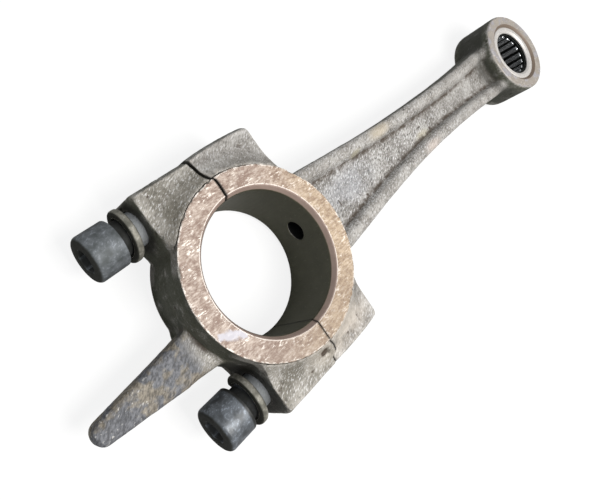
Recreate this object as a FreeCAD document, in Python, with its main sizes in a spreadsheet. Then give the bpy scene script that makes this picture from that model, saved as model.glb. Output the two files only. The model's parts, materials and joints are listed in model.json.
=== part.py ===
import FreeCAD, Part
import math
import os
import re

import Sketcher

# Connecting rod of a small piston compressor, lying on its side, cap screws backed out.
# Origin: centre of the crank bore.  +X runs along the shank to the wrist-pin eye,
# +Z runs along the crank bore.  Millimetres.

OUTPUT_FOLDER = "parts"

# Driving dimensions: alias, value, meaning.
DRIVING_DIMENSIONS = [
    ("bore_radius", 20.0, "crank bore"),
    ("bore_chamfer", 1.1, "chamfer at both mouths of the crank bore, across the bore"),
    ("bore_chamfer_depth", 1.9, "chamfer at both mouths of the crank bore, along the bore"),
    ("ring_radius", 27.0, "machined thrust ring around the crank bore"),
    ("ring_width", 25.6, "across both thrust rings"),
    ("barrel_radius", 27.2, "cast wall around the crank bore"),
    ("barrel_width", 22.8, "width of the cast wall"),
    ("barrel_round", 3.6, "rounding of the cast wall"),
    ("bolt_spacing", 53.7, "between the two cap screws' axes"),
    ("lug_shift", 0.65, "the cast lugs and screws sit this far to +Y of the bore"),
    ("lug_inner", 18.0, "inner side of a screw lug, inside the cast wall"),
    ("cap_lug_outer_1", 34.5, "outer side of the cap's lug, first screw's side, before the shift"),
    ("cap_lug_outer_2", 35.75, "outer side of the cap's lug, second screw's side, before the shift"),
    ("rod_lug_outer_1", 34.5, "corners of the rod's lug, first screw's side, before the shift"),
    ("rod_lug_outer_2", 35.0, "corners of the rod's lug, second screw's side, before the shift"),
    ("lug_width", 18.4, "lug size along the crank bore"),
    ("lug_corner", 3.0, "corner rounding of a lug"),
    ("lug_crown", 110.0, "radius of the crowned outer side of the rod's lugs"),
    ("cap_lug_reach_1", 21.2, "screw seat on the cap, first screw's side"),
    ("cap_lug_reach_2", 19.9, "screw seat on the cap, second screw's side"),
    ("rod_lug_reach_1", 20.3, "end of the rod's lug, first screw's side"),
    ("rod_lug_reach_2", 21.2, "end of the rod's lug, second screw's side"),
    ("split_overlap", 5.0, "stock past the fracture line that the split removes again"),
    ("centre_distance", 165.6, "crank bore axis to wrist-pin axis"),
    ("eye_radius", 17.7, "outside of the small-end eye"),
    ("eye_width", 19.4, "width of the small-end eye"),
    ("eye_chamfer", 0.7, "outer edge break of the eye"),
    ("seat_radius", 12.5, "bore of the eye, seat of the needle bearing"),
    ("seat_chamfer", 1.0, "lead-in chamfer of the bearing seat"),
    ("oil_hole_radius", 3.3, "oil hole from the crank bore into the shank"),
    ("oil_hole_reach", 34.0, "end of the oil hole from the crank bore's axis"),
    ("ridge_radius", 2.7, "rounding of the ridges along the shank"),
    ("ridge_breadth", 4.9, "breadth of each ridge"),
    ("groove_slope", 0.8, "slope between a ridge and the web"),
    ("dipper_thickness", 6.0, "oil dipper blade"),
    ("dipper_round", 1.4, "edge rounding of the oil dipper"),
    ("dipper_tip_radius", 3.5, "rounded tip of the oil dipper"),
    ("head_radius", 6.7, "cap screw head"),
    ("head_height", 8.8, "cap screw head"),
    ("head_chamfer", 1.1, "outer edge of the screw head"),
    ("socket_flats", 6.0, "hexagon socket across flats"),
    ("socket_depth", 4.2, "hexagon socket"),
    ("fitted_radius", 5.0, "fitted part of the screw"),
    ("fitted_length", 25.0, "fitted part of the screw"),
    ("thread_radius", 4.0, "threaded end of the screw"),
    ("screw_length", 42.0, "screw length under the head"),
    ("tip_chamfer", 0.8, "end of the thread"),
    ("running_gap", 0.05, "radial clearance around the screws"),
    ("pilot_reach", 4.5, "end of the fitted hole in the rod lug"),
    ("screw_place_1", -28.05, "underside of the first screw's head, backed out"),
    ("screw_place_2", -27.15, "underside of the second screw's head, backed out"),
    ("washer_inner", 5.1, "lock washer bore radius"),
    ("washer_outer", 7.5, "lock washer outer radius"),
    ("washer_thickness", 2.0, "lock washer section along the screw"),
    ("washer_rise", 2.6, "free offset between the lock washer's ends"),
    ("washer_slit", 12.0, "slit of the lock washer in degrees"),
    ("washer_place_1", -27.4, "end of the first lock washer nearest the screw's head"),
    ("washer_place_2", -26.4, "end of the second lock washer nearest the screw's head"),
    ("washer_turn", 300.0, "turn of that end of each lock washer about the screw, in degrees"),
    ("race_width", 18.0, "width of the needle bearing's outer ring"),
    ("race_radius", 11.0, "raceway of the outer ring"),
    ("race_chamfer", 0.5, "outer edges of the outer ring"),
    ("lip_radius", 9.76, "opening in the outer ring's lips"),
    ("lip_mouth", 10.7, "conical mouth of the lips"),
    ("lip_mouth_depth", 0.7, "conical mouth of the lips"),
    ("lip_thickness", 1.25, "lip size along the bearing"),
    ("cage_inner", 8.9, "needle cage"),
    ("cage_outer", 10.85, "needle cage"),
    ("cage_length", 15.0, "needle cage"),
    ("window_length", 13.2, "window in the cage for one needle roller"),
    ("window_breadth", 2.7, "window in the cage for one needle roller"),
    ("roller_radius", 1.25, "needle roller"),
    ("roller_length", 13.0, "needle roller"),
    ("roller_chamfer", 0.2, "needle roller ends"),
    ("pitch_radius", 9.73, "circle of the roller axes"),
]
ROLLER_COUNT = 18

# Stations of the I-section shank: place along X, half-width, half-height of the
# ridges, half-thickness of the web, and how far the casting sits to +Y of the axis.
SHANK_STATIONS = [
    (22.0, 15.2, 8.4, 5.4, 0.2),
    (42.0, 13.3, 8.1, 5.1, 0.45),
    (66.0, 11.1, 7.6, 4.5, 0.65),
    (94.0, 9.7, 7.0, 3.8, 0.65),
    (124.0, 9.7, 6.5, 3.3, 0.25),
    (153.0, 11.3, 6.3, 3.2, 0.0),
]

# Fracture line of the split big end on the rod side: place across the lugs (Y) and
# along the shank (X), from the second screw's lug to the first screw's lug.
FRACTURE_LINE = [
    (-45.0, -0.1), (-32.3, -0.1), (-31.5, 1.7), (-29.4, 1.55), (-27.3, 0.3), (-21.6, 0.35),
    (0.0, 0.0), (21.9, -0.3), (24.5, -0.1), (26.5, -0.25), (27.3, -1.1), (28.5, -1.5),
    (30.4, -1.7), (32.0, -1.6), (34.2, -1.95), (45.0, -1.95),
]
# The cap stands off the rod by a gap that opens towards the first screw.
FRACTURE_GAP_MIDDLE = 0.51
FRACTURE_GAP_SLOPE = 0.0105
SPLIT_REACH = 90.0

# Outline of the oil dipper on the cap, anticlockwise: root corners inside the cap's
# wall and the two ends of the rounded tip.
DIPPER_OUTLINE = [(-20.0, -14.9), (-24.0, -0.6), (-57.25, -4.2), (-57.65, -10.2)]
DIPPER_TIP_EDGE = 2

# The two screws: number and side of the crank bore along Y.
SIDES = {1: 1, 2: -1}

SMALL = 1e-4

document = FreeCAD.newDocument("ConnectingRod")


def fill_sheet():
    """Spreadsheet of the driving dimensions and the shank's stations."""
    rows = list(DRIVING_DIMENSIONS)
    for number, station in enumerate(SHANK_STATIONS, start=1):
        names = ("station_place_%d", "station_half_%d", "station_ridge_%d", "station_web_%d",
                 "station_shift_%d")
        for name, value in zip(names, station):
            rows.append((name % number, value, "shank station %d" % number))
    sheet = document.addObject("Spreadsheet::Sheet", "Sizes")
    for line, (alias, value, meaning) in enumerate(rows, start=1):
        sheet.set("A%d" % line, meaning)
        sheet.set("B%d" % line, str(value))
        sheet.setAlias("B%d" % line, alias)
    document.recompute()
    return sheet, {alias for alias, value, meaning in rows}


sizes, aliases = fill_sheet()


def linked(formula):
    """The formula with every alias written as a reference to the spreadsheet."""
    def refer(match):
        word = match.group(0)
        return "Sizes." + word if word in aliases else word
    return re.sub(r"[a-z][a-z_0-9]*", refer, str(formula))


def number(formula):
    """The formula's present value."""
    return float(sizes.evalExpression(str(formula)))


# ---- bodies, sketches and features ---------------------------------------------------

def add_body(label):
    body = document.addObject("PartDesign::Body", "Body")
    body.Label = label
    return body


def origin_feature(body, role):
    for feature in body.Origin.OriginFeatures:
        if feature.Role == role:
            return feature
    raise ValueError("no origin feature " + role)


def add_sketch(body, role, along="0", across="0"):
    """Sketch on one of the body's origin planes, moved along its normal or across it."""
    sketch = body.newObject("Sketcher::SketchObject", "Sketch")
    sketch.AttachmentSupport = (origin_feature(body, role), [""])
    sketch.MapMode = "FlatFace"
    sketch.setExpression("AttachmentOffset.Base.z", linked(along))
    sketch.setExpression("AttachmentOffset.Base.x", linked(across))
    return sketch


def constrain(sketch, formula, *arguments):
    """Add a dimension to the sketch and tie it to a formula."""
    kind, rest = arguments[0], arguments[1:]
    index = sketch.addConstraint(Sketcher.Constraint(kind, *rest, number(formula)))
    sketch.setExpression("Constraints[%d]" % index, linked(formula))


def hold_point(sketch, geometry, end, across, up):
    constrain(sketch, across, "DistanceX", -1, 1, geometry, end)
    constrain(sketch, up, "DistanceY", -1, 1, geometry, end)


def add_circle(sketch, radius, across="0", up="0"):
    centre = FreeCAD.Vector(number(across), number(up), 0)
    circle = Part.Circle(centre, FreeCAD.Vector(0, 0, 1), number(radius))
    geometry = sketch.addGeometry(circle, False)
    constrain(sketch, radius, "Radius", geometry)
    hold_point(sketch, geometry, 3, across, up)


def arc_between(start, finish, radius):
    """Arc that bulges to the right of the way from start to finish."""
    chord = finish - start
    middle = (start + finish) * 0.5
    outward = FreeCAD.Vector(chord.y, -chord.x, 0).normalize()
    height = radius - math.sqrt(radius ** 2 - (chord.Length / 2) ** 2)
    return Part.Arc(start, middle + outward * height, finish)


def add_outline(sketch, corners, arcs=None):
    """Closed anticlockwise outline.  arcs maps an edge's number to its radius."""
    arcs = arcs or {}
    places = [FreeCAD.Vector(number(across), number(up), 0) for across, up in corners]
    first = sketch.GeometryCount
    ends = []
    for index, start in enumerate(places):
        finish = places[(index + 1) % len(places)]
        if index in arcs:
            edge = arc_between(start, finish, number(arcs[index]))
        else:
            edge = Part.LineSegment(start, finish)
        geometry = sketch.addGeometry(edge, False)
        forward = sketch.getPoint(geometry, 1).distanceToPoint(start) < SMALL
        ends.append((1, 2) if forward else (2, 1))
    for index, (across, up) in enumerate(corners):
        following = (index + 1) % len(corners)
        sketch.addConstraint(Sketcher.Constraint(
            "Coincident", first + index, ends[index][1], first + following, ends[following][0]))
        hold_point(sketch, first + index, ends[index][0], across, up)
    for index, radius in arcs.items():
        constrain(sketch, radius, "Radius", first + index)


def changed(body, feature, adds):
    """Recompute, and stop if the feature failed or didn't add or remove material."""
    before = body.Tip.BaseFeature.Shape.Volume if feature.BaseFeature else 0.0
    document.recompute()
    after = feature.Shape.Volume
    grew = after > before + SMALL
    shrank = after < before - SMALL
    if not feature.isValid() or (adds and not grew) or (not adds and not shrank):
        raise RuntimeError("%s: %s changed nothing" % (body.Label, feature.Name))
    return feature


def extrude(body, kind, sketch, length, both_ways=False, flip=False):
    """Pad or Pocket of a sketch."""
    feature = body.newObject("PartDesign::" + kind, kind)
    feature.Profile = sketch
    feature.SideType = "Symmetric" if both_ways else "One side"
    feature.Reversed = flip
    feature.setExpression("Length", linked(length))
    return changed(body, feature, kind == "Pad")


def revolve(body, kind, sketch, axis):
    """Revolution or Groove of a sketch, a full turn about its own axis."""
    feature = body.newObject("PartDesign::" + kind, kind)
    feature.Profile = sketch
    feature.ReferenceAxis = (sketch, [axis])
    feature.Angle = 360.0
    return changed(body, feature, kind == "Revolution")


def dress(body, kind, size, wanted):
    """Fillet or Chamfer on the edges of the body's tip that the test picks."""
    base = body.Tip
    names = ["Edge%d" % (place + 1) for place, edge in enumerate(base.Shape.Edges) if wanted(edge)]
    feature = body.newObject("PartDesign::" + kind, kind)
    feature.Base = (base, names)
    feature.setExpression("Radius" if kind == "Fillet" else "Size", linked(size))
    return changed(body, feature, False)


def lies_at(edge, axis, place):
    """True where both ends of the edge's box have the same coordinate on the axis."""
    low = getattr(edge.BoundBox, axis + "Min")
    high = getattr(edge.BoundBox, axis + "Max")
    return abs(low - place) < SMALL and abs(high - place) < SMALL


def at_both_faces(width):
    """Edge test: on one of the two flat faces across Z."""
    half = number(width) / 2
    return lambda edge: lies_at(edge, "Z", half) or lies_at(edge, "Z", -half)


# ---- the two castings of the split big end --------------------------------------------

def add_barrel(body):
    sketch = add_sketch(body, "XY_Plane")
    add_circle(sketch, "barrel_radius")
    extrude(body, "Pad", sketch, "barrel_width", both_ways=True)
    dress(body, "Fillet", "barrel_round", at_both_faces("barrel_width"))


def bolt_place(side):
    return "%d * bolt_spacing / 2 + lug_shift" % side


def add_lug(body, side, outer_size, start, finish, crowned=False):
    """A screw lug on one side, between two places along X, with rounded outer edges."""
    inner = "%d * lug_inner" % side
    outer = "%d * %s + lug_shift" % (side, outer_size)
    corners = [(start, inner), (finish, inner), (finish, outer), (start, outer)]
    outer_edge = 2
    if side < 0:
        corners.reverse()
        outer_edge = 0
    sketch = add_sketch(body, "XY_Plane")
    add_outline(sketch, corners, {outer_edge: "lug_crown"} if crowned else None)
    extrude(body, "Pad", sketch, "lug_width", both_ways=True)
    on_faces = at_both_faces("lug_width")
    beyond = abs(number(outer)) - number("lug_corner")
    dress(body, "Fillet", "lug_corner",
          lambda edge: on_faces(edge) and side * edge.CenterOfMass.y > beyond)


def add_thrust_ring(body):
    sketch = add_sketch(body, "XY_Plane")
    add_circle(sketch, "ring_radius")
    extrude(body, "Pad", sketch, "ring_width", both_ways=True)


def bore_with_chamfers(body, radius, chamfer, depth, width, across="0"):
    """Through bore about a line along Z, chamfered at both mouths."""
    top = "(%s) / 2" % width
    flare = "%s + %s * (1 + 1 / %s)" % (radius, chamfer, depth)
    straight = "%s - %s" % (top, depth)
    sketch = add_sketch(body, "XZ_Plane", across=across)
    add_outline(sketch, [
        ("0", "-%s - 1" % top), (flare, "-%s - 1" % top), (radius, "-(%s)" % straight),
        (radius, straight), (flare, top + " + 1"), ("0", top + " + 1"),
    ])
    revolve(body, "Groove", sketch, "V_Axis")


def drill_lugs(body, radius, start, length):
    """A hole along X in both lugs."""
    sketch = add_sketch(body, "YZ_Plane", along=start)
    for side in SIDES.values():
        add_circle(sketch, radius, across=bolt_place(side))
    extrude(body, "Pocket", sketch, length, flip=True)


def gap_at(place):
    return FRACTURE_GAP_MIDDLE + FRACTURE_GAP_SLOPE * place


def split_off(body, cap_side):
    """Cut away everything beyond the fracture line."""
    if cap_side:
        line = [(along - gap_at(place), place) for place, along in FRACTURE_LINE]
        far = SPLIT_REACH
    else:
        line = [(along, place) for place, along in FRACTURE_LINE]
        line.reverse()
        far = -SPLIT_REACH
    corners = line + [(far, line[-1][1]), (far, line[0][1])]
    if cap_side:
        corners.reverse()
    sketch = add_sketch(body, "XY_Plane")
    add_outline(sketch, corners)
    extrude(body, "Pocket", sketch, "ring_width + 2", both_ways=True)


def add_shank(body):
    """I-section shank, lofted through its stations."""
    sections = []
    for station in range(1, len(SHANK_STATIONS) + 1):
        half = "station_half_%d" % station
        web = "station_web_%d" % station
        shoulder = ("(station_ridge_%d - ridge_radius + sqrt(ridge_radius ^ 2"
                    " - (ridge_breadth / 2) ^ 2))" % station)
        foot = "(%s - ridge_breadth)" % half
        groove = "(%s - ridge_breadth - groove_slope)" % half
        sketch = add_sketch(body, "YZ_Plane", along="station_place_%d" % station,
                            across="station_shift_%d" % station)
        corners = [
            (half, "-" + shoulder), (half, shoulder), (foot, shoulder), (groove, web),
            ("-" + groove, web), ("-" + foot, shoulder), ("-" + half, shoulder),
            ("-" + half, "-" + shoulder), ("-" + foot, "-" + shoulder), ("-" + groove, "-" + web),
            (groove, "-" + web), (foot, "-" + shoulder),
        ]
        add_outline(sketch, corners, {edge: "ridge_radius" for edge in (1, 5, 7, 11)})
        sections.append(sketch)
    loft = body.newObject("PartDesign::AdditiveLoft", "Shank")
    loft.Profile = sections[0]
    loft.Sections = sections[1:]
    changed(body, loft, True)


def add_eye(body):
    sketch = add_sketch(body, "XY_Plane")
    add_circle(sketch, "eye_radius", across="centre_distance")
    extrude(body, "Pad", sketch, "eye_width", both_ways=True)
    dress(body, "Chamfer", "eye_chamfer", at_both_faces("eye_width"))


def add_oil_hole(body):
    sketch = add_sketch(body, "YZ_Plane")
    add_circle(sketch, "oil_hole_radius")
    extrude(body, "Pocket", sketch, "oil_hole_reach", flip=True)


def build_rod():
    body = add_body("rod_casting")
    add_barrel(body)
    for index, side in SIDES.items():
        add_lug(body, side, "rod_lug_outer_%d" % index, "-split_overlap",
                "rod_lug_reach_%d" % index, crowned=True)
    add_shank(body)
    add_eye(body)
    add_thrust_ring(body)
    bore_with_chamfers(body, "bore_radius", "bore_chamfer", "bore_chamfer_depth", "ring_width")
    bore_with_chamfers(body, "seat_radius", "seat_chamfer", "seat_chamfer", "eye_width",
                       across="centre_distance")
    drill_lugs(body, "fitted_radius + running_gap", "-split_overlap", "split_overlap + pilot_reach")
    drill_lugs(body, "thread_radius + running_gap", "0", "rod_lug_reach_2 + 1")
    add_oil_hole(body)
    split_off(body, cap_side=False)
    return body


def add_dipper(body):
    sketch = add_sketch(body, "XY_Plane")
    add_outline(sketch, DIPPER_OUTLINE, {DIPPER_TIP_EDGE: "dipper_tip_radius"})
    extrude(body, "Pad", sketch, "dipper_thickness", both_ways=True)
    dress(body, "Fillet", "dipper_round", at_both_faces("dipper_thickness"))


def build_cap():
    body = add_body("bearing_cap")
    add_dipper(body)
    add_barrel(body)
    for index, side in SIDES.items():
        add_lug(body, side, "cap_lug_outer_%d" % index, "-cap_lug_reach_%d" % index,
                "split_overlap")
    add_thrust_ring(body)
    bore_with_chamfers(body, "bore_radius", "bore_chamfer", "bore_chamfer_depth", "ring_width")
    drill_lugs(body, "fitted_radius + running_gap", "-cap_lug_reach_1 - 1",
               "cap_lug_reach_1 + split_overlap + 2")
    split_off(body, cap_side=True)
    return body


# ---- screws and lock washers ------------------------------------------------------------

def build_screw(index, side):
    """Socket head cap screw along X; its origin is the underside of the head."""
    body = add_body("cap_screw_%d" % index)
    profile = add_sketch(body, "XZ_Plane")
    top = "-head_height"
    add_outline(profile, [
        (top, "0"), ("screw_length", "0"), ("screw_length", "thread_radius - tip_chamfer"),
        ("screw_length - tip_chamfer", "thread_radius"), ("fitted_length", "thread_radius"),
        ("fitted_length", "fitted_radius"), ("0", "fitted_radius"), ("0", "head_radius"),
        (top + " + head_chamfer", "head_radius"), (top, "head_radius - head_chamfer"),
    ])
    revolve(body, "Revolution", profile, "H_Axis")
    socket = add_sketch(body, "YZ_Plane", along=top)
    corner = "socket_flats / sqrt(3)"
    add_outline(socket, [
        ("%s * cos(%d deg)" % (corner, turn), "%s * sin(%d deg)" % (corner, turn))
        for turn in range(0, 360, 60)
    ])
    extrude(body, "Pocket", socket, "socket_depth", flip=True)
    body.setExpression("Placement.Base.x", linked("screw_place_%d" % index))
    body.setExpression("Placement.Base.y", linked(bolt_place(side)))
    return body


def build_washer(index, side):
    """Split lock washer, one turn of a square-cut coil about X."""
    body = add_body("lock_washer_%d" % index)
    section = add_sketch(body, "XY_Plane")
    add_outline(section, [
        ("0", "washer_inner"), ("washer_thickness", "washer_inner"),
        ("washer_thickness", "washer_outer"), ("0", "washer_outer"),
    ])
    coil = body.newObject("PartDesign::AdditiveHelix", "Coil")
    coil.Profile = section
    coil.ReferenceAxis = (section, ["H_Axis"])
    coil.Mode = 1
    coil.LeftHanded = True
    coil.setExpression("Turns", linked("1 - washer_slit / 360"))
    coil.setExpression("Pitch", linked("washer_rise / (1 - washer_slit / 360)"))
    changed(body, coil, True)
    body.setExpression("Placement.Base.x", linked("washer_place_%d" % index))
    body.setExpression("Placement.Base.y", linked(bolt_place(side)))
    body.setExpression("Placement.Rotation.Axis.x", "1")
    body.setExpression("Placement.Rotation.Axis.z", "0")
    body.setExpression("Placement.Rotation.Angle", linked("washer_turn * 1 deg"))
    return body


# ---- needle bearing in the small end -------------------------------------------------------

def build_outer_ring():
    body = add_body("needle_outer_ring")
    half = "race_width / 2"
    inside = "(%s - lip_thickness)" % half
    mouth = "(%s - lip_mouth_depth)" % half
    profile = add_sketch(body, "XZ_Plane")
    add_outline(profile, [
        ("race_radius", "-" + inside), ("lip_radius", "-" + inside), ("lip_radius", "-" + mouth),
        ("lip_mouth", "-" + half), ("seat_radius - race_chamfer", "-" + half),
        ("seat_radius", "-%s + race_chamfer" % half), ("seat_radius", half + " - race_chamfer"),
        ("seat_radius - race_chamfer", half), ("lip_mouth", half), ("lip_radius", mouth),
        ("lip_radius", inside), ("race_radius", inside),
    ])
    revolve(body, "Revolution", profile, "V_Axis")
    body.setExpression("Placement.Base.x", linked("centre_distance"))
    return body


def build_cage():
    body = add_body("needle_cage")
    profile = add_sketch(body, "XZ_Plane")
    half = "cage_length / 2"
    add_outline(profile, [
        ("cage_inner", "-" + half), ("cage_outer", "-" + half), ("cage_outer", half),
        ("cage_inner", half),
    ])
    revolve(body, "Revolution", profile, "V_Axis")
    window = add_sketch(body, "YZ_Plane")
    half_breadth = "window_breadth / 2"
    half_length = "window_length / 2"
    add_outline(window, [
        ("-" + half_breadth, "-" + half_length), (half_breadth, "-" + half_length),
        (half_breadth, half_length), ("-" + half_breadth, half_length),
    ])
    pocket = extrude(body, "Pocket", window, "cage_outer + 1", flip=True)
    pattern = body.newObject("PartDesign::PolarPattern", "Windows")
    pattern.Originals = [pocket]
    pattern.Axis = (origin_feature(body, "Z_Axis"), [""])
    pattern.Angle = 360.0
    pattern.Occurrences = ROLLER_COUNT
    body.Tip = pattern
    document.recompute()
    body.setExpression("Placement.Base.x", linked("centre_distance"))
    return body


def build_roller(index):
    body = add_body("needle_roller_%02d" % index)
    sketch = add_sketch(body, "XY_Plane")
    add_circle(sketch, "roller_radius")
    extrude(body, "Pad", sketch, "roller_length", both_ways=True)
    dress(body, "Chamfer", "roller_chamfer", at_both_faces("roller_length"))
    turn = (index - 1) * 360.0 / ROLLER_COUNT
    along = "centre_distance + pitch_radius * cos(%.6f deg)" % turn
    body.setExpression("Placement.Base.x", linked(along))
    body.setExpression("Placement.Base.y", linked("pitch_radius * sin(%.6f deg)" % turn))
    return body


# ---- check and write ---------------------------------------------------------------------------

def check_document(bodies):
    document.recompute()
    for item in document.Objects:
        if "Invalid" in item.State or "Error" in item.State:
            raise RuntimeError("failed object: " + item.Label)
    for body in bodies:
        shape = body.Shape
        if shape.isNull() or not shape.isValid() or len(shape.Solids) != 1:
            raise RuntimeError("bad shape: " + body.Label)


def write_parts(bodies):
    os.makedirs(OUTPUT_FOLDER, exist_ok=True)
    for body in bodies:
        body.Shape.exportStep(os.path.join(OUTPUT_FOLDER, body.Label + ".step"))
        box = body.Shape.BoundBox
        print("%-20s volume %9.1f mm3  X %7.2f..%7.2f  Y %7.2f..%7.2f  Z %6.2f..%6.2f" % (
            body.Label, body.Shape.Volume, box.XMin, box.XMax, box.YMin, box.YMax,
            box.ZMin, box.ZMax))


parts = [build_rod(), build_cap()]
for index, side in SIDES.items():
    parts.append(build_screw(index, side))
    parts.append(build_washer(index, side))
parts += [build_outer_ring(), build_cage()]
parts += [build_roller(index) for index in range(1, ROLLER_COUNT + 1)]

check_document(parts)
write_parts(parts)
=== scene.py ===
import json
import math

import bmesh
import bpy
import numpy as np
from mathutils import Euler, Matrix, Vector


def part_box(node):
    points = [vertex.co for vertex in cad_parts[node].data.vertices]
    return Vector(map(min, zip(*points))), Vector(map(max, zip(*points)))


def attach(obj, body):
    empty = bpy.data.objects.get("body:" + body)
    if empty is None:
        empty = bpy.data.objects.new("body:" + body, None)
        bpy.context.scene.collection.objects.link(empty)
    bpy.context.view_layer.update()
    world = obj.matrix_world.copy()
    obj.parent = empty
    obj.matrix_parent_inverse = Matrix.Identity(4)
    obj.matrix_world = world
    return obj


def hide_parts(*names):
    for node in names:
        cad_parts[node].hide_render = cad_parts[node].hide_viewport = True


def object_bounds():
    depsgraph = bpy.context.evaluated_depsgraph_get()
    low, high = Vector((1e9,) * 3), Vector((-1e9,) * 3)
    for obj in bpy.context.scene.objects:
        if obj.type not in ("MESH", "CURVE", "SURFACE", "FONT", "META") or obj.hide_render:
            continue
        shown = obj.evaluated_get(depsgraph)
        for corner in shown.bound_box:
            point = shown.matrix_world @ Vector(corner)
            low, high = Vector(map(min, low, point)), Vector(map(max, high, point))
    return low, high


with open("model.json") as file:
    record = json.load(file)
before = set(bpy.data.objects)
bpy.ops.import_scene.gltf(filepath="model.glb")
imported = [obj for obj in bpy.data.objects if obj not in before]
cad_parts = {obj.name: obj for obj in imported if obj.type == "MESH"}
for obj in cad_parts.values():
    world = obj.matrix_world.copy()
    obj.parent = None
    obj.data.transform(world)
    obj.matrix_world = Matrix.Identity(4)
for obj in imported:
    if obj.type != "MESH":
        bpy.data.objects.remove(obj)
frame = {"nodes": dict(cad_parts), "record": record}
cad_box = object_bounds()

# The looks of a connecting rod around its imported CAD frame. Lengths are in millimetres
# until a mesh, light or camera is made. +X runs along the shank, +Z along the crank bore.

MM = 0.001

# ---- sizes that come from the frame ----------------------------------------------------

MOUNTS = {mount["name"]: mount for mount in frame["record"]["mounts"]}
BORE = MOUNTS["crank_bore"]["dims"]["r_mm"]
EYE_X = MOUNTS["wrist_pin_bearing"]["pos_m"][0] / MM


def span(node):
    """Lowest and highest corner of a CAD node."""
    low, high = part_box(node)
    return low / MM, high / MM


ROD_HIGH = span("rod_casting")[1]
RING_TOP = ROD_HIGH.z
EYE_OUT = ROD_HIGH.x - EYE_X
RACE_LOW, RACE_HIGH = span("needle_outer_ring")
SEAT = (RACE_HIGH.y - RACE_LOW.y) / 2
RACE_TOP = RACE_HIGH.z

# ---- sizes of the castings -------------------------------------------------------------

RING = 27.0                 # outer radius of the thrust rings
BORE_CHAMFER = 1.1
BORE_CHAMFER_DEPTH = 1.9
EYE_TOP = 9.7               # half height of the small-end eye
SEAT_CHAMFER = 1.0
WALL_TOP = 11.4             # half height of the cast wall under the thrust rings
LUG_TOP = 9.2               # half height of the screw lugs
OIL_HOLE = 3.3
HOLE = 5.05                 # radius of the screw holes
HOLE_END = 21.0             # the screw holes stop here, along X
SPLIT_REACH = 3.2           # the split wanders this far from x = 0
SIDES = (1, 2)              # the two screws

# ---- meshes ----------------------------------------------------------------------------

AROUND = 96                 # points around a turned shape
SAME_POINT = 1e-6           # points this close, in metres, are welded
CLOSE_POINTS = 5e-6         # and these after the mesh is made even


def read(collection, name, width):
    """One property of every element as rows of numbers."""
    values = np.empty(len(collection) * width)
    collection.foreach_get(name, values)
    return values.reshape(-1, width)


def add_object(name, mesh, body, node, material):
    """Put a finished mesh in the scene in place of a CAD node."""
    item = bpy.data.objects.new(name, mesh)
    bpy.context.scene.collection.objects.link(item)
    mesh.materials.clear()
    mesh.materials.append(material)
    mesh.shade_smooth()
    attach(item, body)
    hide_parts(node)
    return item


def face_outwards(mesh):
    """Turn the faces of a closed mesh to the outside if they all point in."""
    shape = bmesh.new()
    shape.from_mesh(mesh)
    if shape.calc_volume(signed=True) < 0:
        bmesh.ops.reverse_faces(shape, faces=shape.faces)
        shape.to_mesh(mesh)
    shape.free()


def loft(name, rings, endless=False):
    """Mesh through rings of points. Its ends are closed, or joined to each other."""
    rings = np.array(rings)
    count, size = rings.shape[:2]
    points = [tuple(point * MM) for ring in rings for point in ring]
    faces = []
    for first in range(count if endless else count - 1):
        second = (first + 1) % count
        for place in range(size):
            after = (place + 1) % size
            faces.append((first * size + place, first * size + after,
                          second * size + after, second * size + place))
    if not endless:
        faces.append(tuple(range(size - 1, -1, -1)))
        faces.append(tuple(range((count - 1) * size, count * size)))
    mesh = bpy.data.meshes.new(name)
    mesh.from_pydata(points, [], faces)
    mesh.validate()
    face_outwards(mesh)
    return mesh


def turned(profile, centre, along):
    """Rings of a turned shape: profile gives the place along the axis and the radius."""
    turns = np.linspace(0, 2 * math.pi, AROUND, endpoint=False)
    rings = []
    for place, radius in profile:
        ring = np.zeros((AROUND, 3))
        across = [axis for axis in range(3) if axis != along]
        ring[:, across[0]] = radius * np.cos(turns)
        ring[:, across[1]] = radius * np.sin(turns)
        ring[:, along] = place
        rings.append(ring + np.array(centre))
    return rings


def rounded(corners, steps=4):
    """Open outline whose corners (place, radius, rounding) are replaced with arcs."""
    points = []
    for index, (along, across, size) in enumerate(corners):
        here = Vector((along, across))
        if size == 0 or index in (0, len(corners) - 1):
            points.append(tuple(here))
            continue
        back = (Vector(corners[index - 1][:2]) - here).normalized()
        ahead = (Vector(corners[index + 1][:2]) - here).normalized()
        half = back.angle(ahead) / 2
        start = here + back * size / math.tan(half)
        finish = here + ahead * size / math.tan(half)
        middle = here + (back + ahead).normalized() * size / math.sin(half)
        first, last = start - middle, finish - middle
        for step in range(steps + 1):
            share = step / steps
            spoke = first.lerp(last, share).normalized() * size
            points.append(tuple(middle + spoke))
    return points


def noise_at(points, size, seed):
    """Smooth noise from -1 to 1 whose grains measure about size, the same on each run."""
    scaled = points / size + seed * 17.31
    cell = np.floor(scaled).astype(np.int64)
    part = scaled - cell
    part = part * part * (3 - 2 * part)
    total = np.zeros(len(points))
    for corner in range(8):
        offset = np.array([corner & 1, corner >> 1 & 1, corner >> 2 & 1])
        key = cell + offset
        mixed = key[:, 0] * 73856093 ^ key[:, 1] * 19349663 ^ key[:, 2] * 83492791
        mixed = (mixed ^ mixed >> 13) * 1274126177
        value = ((mixed ^ mixed >> 16) & 65535) / 32767.5 - 1
        total += value * np.prod(np.where(offset, part, 1 - part), axis=1)
    return total


def ease(values, low, high):
    """0 below low, 1 above high, smooth between. low may be the larger one."""
    share = np.clip((values - low) / (high - low), 0, 1)
    return share * share * (3 - 2 * share)


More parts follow.
